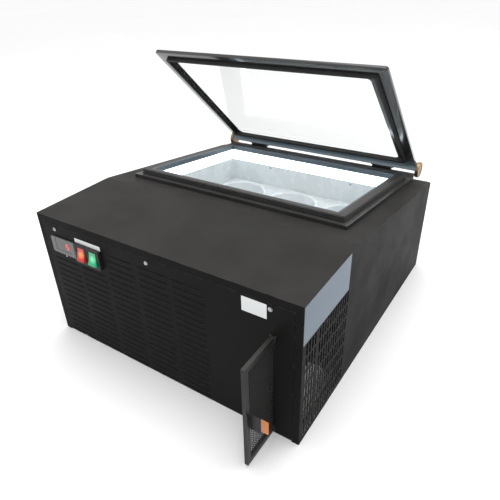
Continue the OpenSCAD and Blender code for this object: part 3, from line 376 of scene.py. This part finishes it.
class Finish:
    """One material, built up from a Principled shader and the shared effects."""

    def __init__(self, name, **sockets):
        self.material = bpy.data.materials.new(name)
        self.material.use_nodes = True
        self.tree = self.material.node_tree
        self.shader = self.tree.nodes["Principled BSDF"]
        for key, value in sockets.items():
            self.shader.inputs[key.replace("_", " ")].default_value = value
        self.normal = None

    def effect(self, group, **values):
        node = self.tree.nodes.new("ShaderNodeGroup")
        node.node_tree = group
        for key, value in values.items():
            node.inputs[key.replace("_", " ")].default_value = value
        return node

    def join(self, source, target):
        self.tree.links.new(source, target)

    def blend(self, mask, first, second):
        """Colour that goes from first to second with a mask."""
        node = self.tree.nodes.new("ShaderNodeMix")
        node.data_type = "RGBA"
        self.join(mask, node.inputs[0])
        for index, colour in ((6, first), (7, second)):
            if isinstance(colour, tuple):
                node.inputs[index].default_value = (*colour, 1)
            else:
                self.join(colour, node.inputs[index])
        return node.outputs[2]

    def level(self, mask, low, high):
        """Number that goes from low to high with a mask."""
        node = self.tree.nodes.new("ShaderNodeMapRange")
        node.inputs["To Min"].default_value = low
        node.inputs["To Max"].default_value = high
        self.join(mask, node.inputs["Value"])
        return node.outputs["Result"]

    def soft_edges(self, radius):
        """Rounds the light on sharp edges."""
        node = self.tree.nodes.new("ShaderNodeBevel")
        node.samples = 4
        node.inputs["Radius"].default_value = radius
        self.normal = node.outputs["Normal"]

    def bump(self, height, strength, distance):
        node = self.tree.nodes.new("ShaderNodeBump")
        node.inputs["Strength"].default_value = strength
        node.inputs["Distance"].default_value = distance
        self.join(height, node.inputs["Height"])
        if self.normal is not None:
            self.join(self.normal, node.inputs["Normal"])
        self.normal = node.outputs["Normal"]
        self.join(self.normal, self.shader.inputs["Normal"])


def grey(value, warm=0.0):
    return (value * (1 + warm), value, value * (1 - warm))


def paint(name, dark, light, rough=(0.42, 0.58), grain=1100.0, relief=0.25, wear=0.5, dust=0.25,
          worn=(0.32, 0.31, 0.30), specular=0.4, round_off=0.0008):
    """Sprayed or moulded skin: clouds, grain, worn edges and dust on top."""
    made = Finish(name, Specular_IOR_Level=specular)
    made.soft_edges(round_off)
    grain_of = made.effect(GRAIN, Grain_Scale=grain, Cloud_Scale=7.0)
    colour = made.blend(grain_of.outputs["Tone"], dark, light)
    if wear:
        edge = made.effect(EDGE_WEAR, Width=0.0012, Break_Up=70.0)
        colour = made.blend(made.level(edge.outputs["Mask"], 0.0, wear), colour, worn)
    if dust:
        lying = made.effect(DUST, Amount=dust, Patch_Scale=11.0)
        colour = made.blend(lying.outputs["Mask"], colour, (0.34, 0.33, 0.31))
    made.join(colour, made.shader.inputs["Base Color"])
    made.join(made.level(grain_of.outputs["Tone"], *rough), made.shader.inputs["Roughness"])
    made.bump(grain_of.outputs["Height"], relief, 0.0003)
    return made.material


def metal(name, dark, light, rough=(0.25, 0.4), stretch=(5.0, 500.0, 500.0), relief=0.15, metallic=1.0):
    """Bare metal with fine lines along one axis."""
    made = Finish(name, Metallic=metallic)
    lines = made.effect(DRAWN, Stretch=stretch)
    stain = made.effect(GRAIN, Grain_Scale=600.0, Cloud_Scale=25.0)
    colour = made.blend(lines.outputs["Tone"], dark, light)
    colour = made.blend(made.level(stain.outputs["Speck"], 0.0, 0.35), colour, tuple(c * 0.5 for c in dark))
    made.join(colour, made.shader.inputs["Base Color"])
    made.join(made.level(stain.outputs["Tone"], *rough), made.shader.inputs["Roughness"])
    made.bump(lines.outputs["Height"], relief, 0.0002)
    return made.material


def gloss(name, dark, light, rough=(0.05, 0.14), coat=0.6, relief=0.02, glow=None, glow_strength=0.0,
          specular=0.5):
    """Smooth plastic or stove enamel with fine smears."""
    made = Finish(name, Coat_Weight=coat, Coat_Roughness=0.06, Specular_IOR_Level=specular)
    smear = made.effect(GRAIN, Grain_Scale=350.0, Cloud_Scale=18.0)
    made.join(made.blend(smear.outputs["Tone"], dark, light), made.shader.inputs["Base Color"])
    made.join(made.level(smear.outputs["Tone"], *rough), made.shader.inputs["Roughness"])
    made.bump(smear.outputs["Height"], relief, 0.0002)
    if glow:
        made.shader.inputs["Emission Strength"].default_value = glow_strength
        made.join(made.blend(smear.outputs["Tone"], glow[0], glow[1]), made.shader.inputs["Emission Color"])
    return made.material


def lit_lens(name, dark, light, dim, hot, centre, radius, strength):
    """Coloured lens over a small lamp, which shows as a bright spot."""
    made = Finish(name, Coat_Weight=0.5, Coat_Roughness=0.06, Specular_IOR_Level=0.4)
    smear = made.effect(GRAIN, Grain_Scale=350.0, Cloud_Scale=18.0)
    spot = made.effect(HOT_SPOT, Centre=centre, Radius=radius)
    made.join(made.blend(smear.outputs["Tone"], dark, light), made.shader.inputs["Base Color"])
    made.join(made.level(smear.outputs["Tone"], 0.08, 0.16), made.shader.inputs["Roughness"])
    made.bump(smear.outputs["Height"], 0.02, 0.0002)
    made.join(made.blend(spot.outputs["Mask"], dim, hot), made.shader.inputs["Emission Color"])
    made.shader.inputs["Emission Strength"].default_value = strength
    return made.material


def clear_glass(name):
    made = Finish(name, Transmission_Weight=1.0, IOR=1.45, Specular_IOR_Level=0.5)
    smear = made.effect(GRAIN, Grain_Scale=120.0, Cloud_Scale=4.0)
    made.join(made.blend(smear.outputs["Tone"], (0.97, 0.99, 0.985), (0.99, 1.0, 0.998)),
              made.shader.inputs["Base Color"])
    made.join(made.level(smear.outputs["Tone"], 0.0, 0.02), made.shader.inputs["Roughness"])
    return made.material


CASING = paint("casing_powder_coat", grey(0.0065, 0.02), grey(0.0085, 0.02), grain=1500.0, relief=0.3,
               wear=0.2, dust=0.085, specular=0.04)
PANEL = paint("front_panel_powder_coat", grey(0.005, 0.02), grey(0.007, 0.02), grain=1500.0, relief=0.25,
              wear=0.12, dust=0.1, specular=0.06)
ZINC = metal("galvanised_sheet", grey(0.42), grey(0.62), rough=(0.35, 0.6), stretch=(60.0, 60.0, 60.0))
SCREW = metal("zinc_plated_steel", grey(0.34), grey(0.5), rough=(0.22, 0.38), stretch=(200.0, 200.0, 200.0))
BLACK = paint("black_moulding", grey(0.008), grey(0.012), rough=(0.4, 0.55), grain=1700.0, relief=0.15,
              wear=0.1, dust=0.1, specular=0.25)
COLLAR = paint("collar_moulding", grey(0.012), grey(0.02), rough=(0.28, 0.42), grain=1400.0, relief=0.1,
               wear=0.1, dust=0.1)
FILTER_BLACK = paint("filter_frame_moulding", grey(0.009), grey(0.013), rough=(0.4, 0.55), grain=1500.0,
                     relief=0.15, wear=0.12, dust=0.1, specular=0.25)
TAB_END = paint("filter_tab_end_moulding", (0.42, 0.13, 0.035), (0.50, 0.17, 0.05), rough=(0.35, 0.5),
                grain=1200.0, relief=0.1, wear=0.1, dust=0.05)
NET = paint("filter_net_yarn", grey(0.008), grey(0.014), rough=(0.5, 0.7), grain=2500.0, wear=0, dust=0.1,
            specular=0.2)
BEZEL = paint("thermostat_bezel_moulding", grey(0.10), grey(0.13), rough=(0.3, 0.42), grain=1200.0,
              relief=0.08, wear=0.1, dust=0.05)
WINDOW = gloss("thermostat_window_lens", grey(0.012), grey(0.02), rough=(0.05, 0.1))
RED = lit_lens("red_rocker_lens", (0.30, 0.012, 0.008), (0.40, 0.018, 0.012), (0.22, 0.008, 0.004),
               (1.0, 0.42, 0.06), middle("red_rocker"), 0.012, 1.0)
GREEN = lit_lens("green_rocker_lens", (0.006, 0.20, 0.085), (0.010, 0.26, 0.11), (0.005, 0.16, 0.07),
                 (0.25, 1.0, 0.50), middle("green_rocker"), 0.012, 0.9)
FINS = metal("condenser_fin_aluminium", grey(0.5), grey(0.7), rough=(0.3, 0.5), stretch=(300.0, 300.0, 8.0))
COPPER = metal("copper_tube", (0.5, 0.22, 0.12), (0.75, 0.38, 0.22), rough=(0.2, 0.4),
               stretch=(200.0, 8.0, 200.0))
CAN = gloss("compressor_enamel", grey(0.012), grey(0.02), rough=(0.15, 0.3))
RUBBER = paint("seal_rubber", grey(0.012), grey(0.02), rough=(0.55, 0.75), grain=2000.0, relief=0.2, wear=0,
               dust=0.15, specular=0.3)
WHITE = gloss("white_liner_plastic", (0.68, 0.71, 0.72), (0.73, 0.76, 0.77), rough=(0.22, 0.34), coat=0.15)
PAN = gloss("white_pan_plastic", (0.78, 0.80, 0.81), (0.84, 0.86, 0.87), rough=(0.2, 0.32), coat=0.2)
FOAM = paint("cast_foam", (0.62, 0.55, 0.34), (0.74, 0.68, 0.46), rough=(0.8, 0.95), grain=500.0,
             relief=0.6, wear=0, dust=0)
LAMP = gloss("lamp_diffuser", (0.9, 0.95, 1.0), (0.95, 0.98, 1.0), rough=(0.4, 0.5), coat=0.0,
             glow=((0.74, 0.91, 1.0), (0.82, 0.96, 1.0)), glow_strength=2.2)
BREAKER = paint("breaker_moulding", (0.075, 0.095, 0.115), (0.095, 0.12, 0.14), rough=(0.3, 0.42),
                grain=1200.0, relief=0.06, wear=0, dust=0.05)
STRIP = metal("hinge_strip_steel", grey(0.34, 0.03), grey(0.5, 0.03), rough=(0.3, 0.45))
HINGE_BLACK = paint("hinge_block_enamel", grey(0.012), grey(0.018), rough=(0.3, 0.45), grain=900.0,
                    relief=0.08, wear=0.4, dust=0.1)
# The light blue-grey base colour of the lid rail is a painted reflection of the lit interior on its glossy
# enamel.
RAIL_PAINTED_REFLECTION = gloss("rail_enamel_painted_reflection", (0.115, 0.165, 0.200), (0.130, 0.185, 0.220), rough=(0.08, 0.15), coat=0.8)
FRAME_BLACK = gloss("lid_frame_enamel", grey(0.012), grey(0.018), rough=(0.12, 0.2), coat=0.5)
BRONZE = metal("bronze_cap", (0.20, 0.13, 0.07), (0.30, 0.21, 0.12), rough=(0.3, 0.45),
               stretch=(200.0, 60.0, 60.0), metallic=0.85)
GLASS = clear_glass("lid_glass_clear")
PRINT = gloss("glass_border_print", grey(0.02), grey(0.03), rough=(0.1, 0.18), coat=0.5)
LABEL = paint("label_film", (0.094, 0.132, 0.174), (0.104, 0.143, 0.186), rough=(0.3, 0.42), grain=1500.0,
              relief=0.03, wear=0, dust=0)
PAPER = paint("white_label_film", (0.58, 0.60, 0.60), (0.66, 0.68, 0.68), rough=(0.35, 0.5), grain=1500.0,
              relief=0.03, wear=0, dust=0)
DIGIT = gloss("display_segment", (0.6, 0.02, 0.02), (0.7, 0.03, 0.02), coat=0.0,
              glow=((1.0, 0.04, 0.03), (1.0, 0.06, 0.04)), glow_strength=2.2)

NODE_FINISH = {
    "base_pan": ZINC, "machine_casing": CASING, "front_panel": PANEL, "panel_screws": SCREW,
    "thermostat_body": BLACK, "thermostat_bezel": BEZEL, "thermostat_window": WINDOW,
    "switch_block": BLACK, "red_rocker": RED, "green_rocker": GREEN,
    "filter_frame": FILTER_BLACK, "filter_mesh": NET, "filter_tab": FILTER_BLACK, "filter_rails": ZINC,
    "condenser_fins": FINS, "condenser_tubes": COPPER, "condenser_plates": ZINC, "air_baffle": ZINC,
    "fan_shroud": ZINC, "fan_motor": BLACK, "fan_blades": BLACK,
    "compressor": CAN, "compressor_foot": ZINC, "compressor_grommets": RUBBER, "compressor_bolts": SCREW,
    "terminal_cover": BLACK, "dryer": COPPER, "refrigerant_pipes": COPPER,
    "partition": ZINC, "cord_gland": BLACK,
    "side_panel_left": CASING, "side_panel_right": CASING, "rear_panel": CASING, "front_strip": CASING,
    "insulation": FOAM, "evaporator_coil": COPPER, "liner": WHITE, "lamp_band": LAMP, "breaker": BREAKER,
    "collar_foot": COLLAR, "collar_frame": COLLAR,
    "rack_plate_1": WHITE, "rack_plate_2": WHITE, "rack_plate_3": WHITE,
    "hinge_strip": STRIP, "hinge_blocks": HINGE_BLACK, "hinge_screws": SCREW, "hinge_pins": SCREW,
    "lid_rail": RAIL_PAINTED_REFLECTION, "rail_caps": BRONZE, "lid_frame": FRAME_BLACK, "lid_glass": GLASS,
    "glass_border": PRINT, "lid_gasket": RUBBER,
}
for number in range(1, 7):
    NODE_FINISH[f"pan_{number}"] = PAN
for node, finish in NODE_FINISH.items():
    frame["nodes"][node].data.materials.clear()
    frame["nodes"][node].data.materials.append(finish)


# ---------------------------------------------------------------- camera, floor and lights

def add_camera():
    data = bpy.data.cameras.new("camera")
    data.sensor_width = 36
    data.lens = 35.68
    data.shift_x = 0.063
    data.shift_y = 0.0036
    camera = bpy.data.objects.new("camera", data)
    bpy.context.scene.collection.objects.link(camera)
    look = Vector((-0.51516, 0.67852, -0.52367))
    right = Vector((0.81555, 0.57597, -0.05600))
    up = Vector((-0.26362, 0.45593, 0.85008))
    turn = Matrix((right, up, -look)).transposed().to_4x4()
    camera.matrix_world = Matrix.Translation((0.6280, -0.9776, 0.8574)) @ turn
    bpy.context.scene.camera = camera


def add_floor():
    at_rest()
    bpy.ops.mesh.primitive_plane_add(size=30, location=(0, 0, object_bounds()[0][2] - 0.0002))
    floor = bpy.context.object
    floor.name = "studio_floor"
    made = Finish("studio_floor_paper")
    cloud = made.effect(GRAIN, Grain_Scale=300.0, Cloud_Scale=1.0)
    made.join(made.blend(cloud.outputs["Tone"], grey(0.90), grey(0.92)), made.shader.inputs["Base Color"])
    made.join(made.level(cloud.outputs["Tone"], 0.75, 0.85), made.shader.inputs["Roughness"])
    floor.data.materials.append(made.material)


def add_light(name, place_at, aim, size, power, colour=(1, 1, 1)):
    data = bpy.data.lights.new(name, "AREA")
    data.shape = "RECTANGLE"
    data.size, data.size_y = size
    data.energy = power
    data.color = colour
    lamp = bpy.data.objects.new(name, data)
    bpy.context.scene.collection.objects.link(lamp)
    lamp.location = place_at
    lamp.rotation_euler = (Vector(aim) - Vector(place_at)).to_track_quat("-Z", "Y").to_euler()
    return lamp


def add_studio():
    world = bpy.data.worlds.new("studio")
    world.use_nodes = True
    world.node_tree.nodes["Background"].inputs["Color"].default_value = (1, 1, 1, 1)
    world.node_tree.nodes["Background"].inputs["Strength"].default_value = 1.05
    bpy.context.scene.world = world
    add_light("overhead_softbox", (0.2, 0.3, 2.6), (0, 0.1, 0.2), (2.6, 2.2), 45)
    add_light("front_softbox", (1.6, -2.4, 1.6), (0, 0, 0.2), (1.6, 1.2), 9)
    bpy.context.scene.view_settings.view_transform = "Standard"


add_camera()
add_floor()
add_studio()


# ---------------------------------------------------------------- pieces

def filter_net():
    """Fine square net in the filter frame."""
    low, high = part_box("filter_mesh")
    pitch = 0.0055
    count_y = round((high.y - low.y) / pitch)
    count_z = round((high.z - low.z) / pitch)
    at_rest()
    bpy.ops.mesh.primitive_grid_add(
        x_subdivisions=count_z, y_subdivisions=count_y, size=1, location=(low + high) / 2,
        rotation=(0, math.pi / 2, 0))
    net = bpy.context.object
    net.name = "filter_fine_net"
    net.scale = (high.z - low.z, high.y - low.y, 1)
    settle(net)
    harden(net, "WIREFRAME", thickness=0.0015, use_even_offset=False, use_boundary=True)
    fit(net, "filter", NET, "filter_net", "filter_mesh")


def cross_head(name, radius, height, centre, out):
    """Domed screw head with a cross recess; it stands out from its centre along out."""
    out = Vector(out).normalized()
    centre = Vector(centre)
    head = turned(name, radius, height, centre + out * height / 2, out, 40)
    open_mesh(head)
    pick_faces(head, lambda c, n: n.dot(out) > 0.9)
    bpy.ops.mesh.bevel(offset=height * 0.6, segments=5, affect="EDGES")
    close_mesh(head)
    side = out.orthogonal().normalized()
    other = out.cross(side)
    for along, across in ((side, other), (other, side)):
        at_rest()
        bpy.ops.mesh.primitive_cube_add(size=1)
        cutter = bpy.context.object
        shape = Matrix((along * radius * 1.15, across * radius * 0.26, out * height * 1.1)).transposed()
        cutter.data.transform(Matrix.Translation(centre + out * height) @ shape.to_4x4())
        harden(head, "BOOLEAN", operation="DIFFERENCE", object=cutter, solver="EXACT")
        bpy.data.objects.remove(cutter)
    return head


def panel_screw_heads():
    heads = []
    low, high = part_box("panel_screws")
    z = (low.z + high.z) / 2
    radius = (high.z - low.z) / 2
    for x in (LEFT + 56.5 * MM, LEFT + 343.8 * MM, RIGHT - 64.8 * MM):
        washer = turned("washer", radius, 0.9 * MM, (x, FRONT - 0.45 * MM, z), (0, -1, 0), 48)
        harden(washer, "BEVEL", width=0.3 * MM, segments=2, limit_method="ANGLE")
        heads += [washer, cross_head("head", radius * 0.74, 2.1 * MM, (x, FRONT - 0.8 * MM, z), (0, -1, 0))]
    piece = one_piece("panel_screw_heads", heads)
    smooth(piece)
    fit(piece, "cabinet", SCREW, "steel_fastener", "panel_screws")


def hinge_screw_heads():
    heads = []
    low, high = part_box("hinge_screws")
    out = ON_SLOPE.to_3x3() @ Vector((0, -1, 0))
    radius, pitch = 3.4 * MM, 30 * MM
    seat = middle("hinge_screws") - out * 0.8 * MM
    for x in (low.x + radius, low.x + radius + pitch, high.x - radius - pitch, high.x - radius):
        heads.append(cross_head("head", radius, 1.9 * MM, (x, seat.y, seat.z), out))
    piece = one_piece("hinge_screw_heads", heads)
    smooth(piece)
    fit(piece, "cabinet", SCREW, "steel_fastener", "hinge_screws")


def lid_frame_ring():
    """Frame of the lid with a rebate for the glass, folded edges rounded."""
    half, front, rear = 0.304, -0.496, -0.020
    low, high, bar, rebate, glass_depth, corner = 1.5 * MM, 9.5 * MM, 0.030, 0.008, 0.005, 0.007
    ring = block("lid_frame_ring", (-half, front, low), (half, rear, high))
    open_mesh(ring)
    pick_faces(ring, lambda c, n: n.z > 0.9)
    bpy.ops.mesh.inset(thickness=bar - rebate)
    bpy.ops.mesh.extrude_region_move(TRANSFORM_OT_translate={"value": (0, 0, -glass_depth)})
    bpy.ops.mesh.inset(thickness=rebate)
    bpy.ops.mesh.extrude_region_move(TRANSFORM_OT_translate={"value": (0, 0, low - high + glass_depth)})
    bpy.ops.mesh.delete(type="FACE")
    pick_faces(ring, lambda c, n: n.z < -0.9 and abs(c.z - low) < 1e-4)
    bpy.ops.mesh.inset(thickness=bar)
    bpy.ops.mesh.delete(type="FACE")
    pick_edges(ring, lambda a, b: abs(a.z - b.z) > 1e-4 and a.y < -0.4 and abs(a.x) > half - 1e-4)
    bpy.ops.mesh.bevel(offset=corner, segments=6, affect="EDGES")
    close_mesh(ring, recalc=True)
    harden(ring, "BEVEL", width=0.9 * MM, segments=3, limit_method="ANGLE",
           angle_limit=math.radians(40))
    smooth(ring, 30)
    place(ring, ON_LID)
    fit(ring, "lid", FRAME_BLACK, "rail_gloss", "lid_frame")


def rail_end_caps():
    caps = []
    low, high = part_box("rail_caps")
    radius = (high.z - low.z) / 2
    for x0, x1 in ((low.x, low.x + 9.5 * MM), (high.x - 9.5 * MM, high.x)):
        cap = turned("cap", radius, x1 - x0, ((x0 + x1) / 2, HINGE.y, HINGE.z), (1, 0, 0), 96)
        outer = -1 if x0 < 0 else 1
        open_mesh(cap)
        pick_faces(cap, lambda c, n: n.x * outer > 0.9)
        bpy.ops.mesh.inset(thickness=0.0042)
        bpy.ops.mesh.extrude_region_move(TRANSFORM_OT_translate={"value": (-outer * 0.0012, 0, 0)})
        close_mesh(cap)
        harden(cap, "BEVEL", width=1.6 * MM, segments=4, limit_method="ANGLE",
               angle_limit=math.radians(40))
        caps.append(cap)
    piece = one_piece("rail_end_caps", caps)
    smooth(piece)
    fit(piece, "lid", BRONZE, "cap_bronze", "rail_caps")


def film(name, low, high, radius, along, finish, slot):
    """Thin label with round corners, bare of print."""
    sheet = block(name, low, high)
    axis = "xyz".index(along)
    open_mesh(sheet)
    pick_edges(sheet, lambda a, b: abs(a[axis] - b[axis]) > 1e-6)
    bpy.ops.mesh.bevel(offset=radius, segments=5, affect="EDGES")
    close_mesh(sheet)
    return fit(sheet, "cabinet", finish, slot)


def labels():
    """Bare labels: one on the right side, one on the front, one strip over the switches."""
    thick = 0.25 * MM
    film("side_label", (RIGHT, FRONT + 0.0015, 0.2605), (RIGHT + thick, FRONT + 0.198, 0.3465), 0.0015,
         "x", LABEL, "grey_plastic")
    film("front_label", (LEFT + 0.575, FRONT - thick, 0.293), (LEFT + 0.628, FRONT, 0.3255), 0.001,
         "y", PAPER, "white_plastic")
    film("switch_strip", (LEFT + 0.123, FRONT - thick, 0.303), (LEFT + 0.206, FRONT, 0.314), 0.0008,
         "y", PAPER, "white_plastic")


def display_digit():
    """Seven-segment figure five behind the window's right end."""
    low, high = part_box("thermostat_window")
    y = low.y - 0.00025
    height, width, bar = 0.0145, 0.0082, 0.0018
    x0, z0 = high.x - 0.0145, (low.z + high.z) / 2 - height / 2
    half = height / 2
    strokes = [
        (x0, z0 + height - bar, width, bar), (x0, z0 + half, bar, half),
        (x0, z0 + half - bar / 2, width, bar), (x0 + width - bar, z0, bar, half),
        (x0, z0, width, bar)]
    gap = 0.0004
    bars = []
    for x, z, w, h in strokes:
        stroke = block("segment", (x + gap, y, z + gap), (x + w - gap, y + 0.0003, z + h - gap))
        open_mesh(stroke)
        pick_edges(stroke, lambda a, b: abs(a.y - b.y) > 1e-6)
        bpy.ops.mesh.bevel(offset=0.0006, segments=2, affect="EDGES")
        close_mesh(stroke)
        bars.append(stroke)
    fit(one_piece("display_digit", bars), "cabinet", DIGIT, "red_rocker")


def tab_sleeve():
    """Coloured grip moulded round the outer end of the filter's tab."""
    low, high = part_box("filter_tab")
    grow, length, tab_thick, tab_height = 0.4 * MM, 14.8 * MM, 1.4 * MM, 31 * MM
    sleeve = block("filter_tab_grip",
                   (high.x - length, high.y - tab_thick - grow, high.z - tab_height - grow),
                   (high.x + grow, high.y + grow, high.z + grow))
    harden(sleeve, "BEVEL", width=0.9 * MM, segments=3)
    smooth(sleeve)
    fit(sleeve, "filter", TAB_END, "red_rocker")


def liner_rivets():
    """Two rivets on the rear wall of the tank."""
    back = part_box("liner")[1].y - 0.003
    heads = []
    for x, z in ((-0.121, 0.248), (0.146, 0.247)):
        heads.append(cross_head("rivet", 0.0035, 0.0012, (x, back, z), (0, -1, 0)))
    piece = one_piece("liner_rivets", heads)
    smooth(piece)
    fit(piece, "cabinet", SCREW, "steel_fastener")


filter_net()
panel_screw_heads()
hinge_screw_heads()
lid_frame_ring()
rail_end_caps()
labels()
display_digit()
tab_sleeve()
liner_rivets()
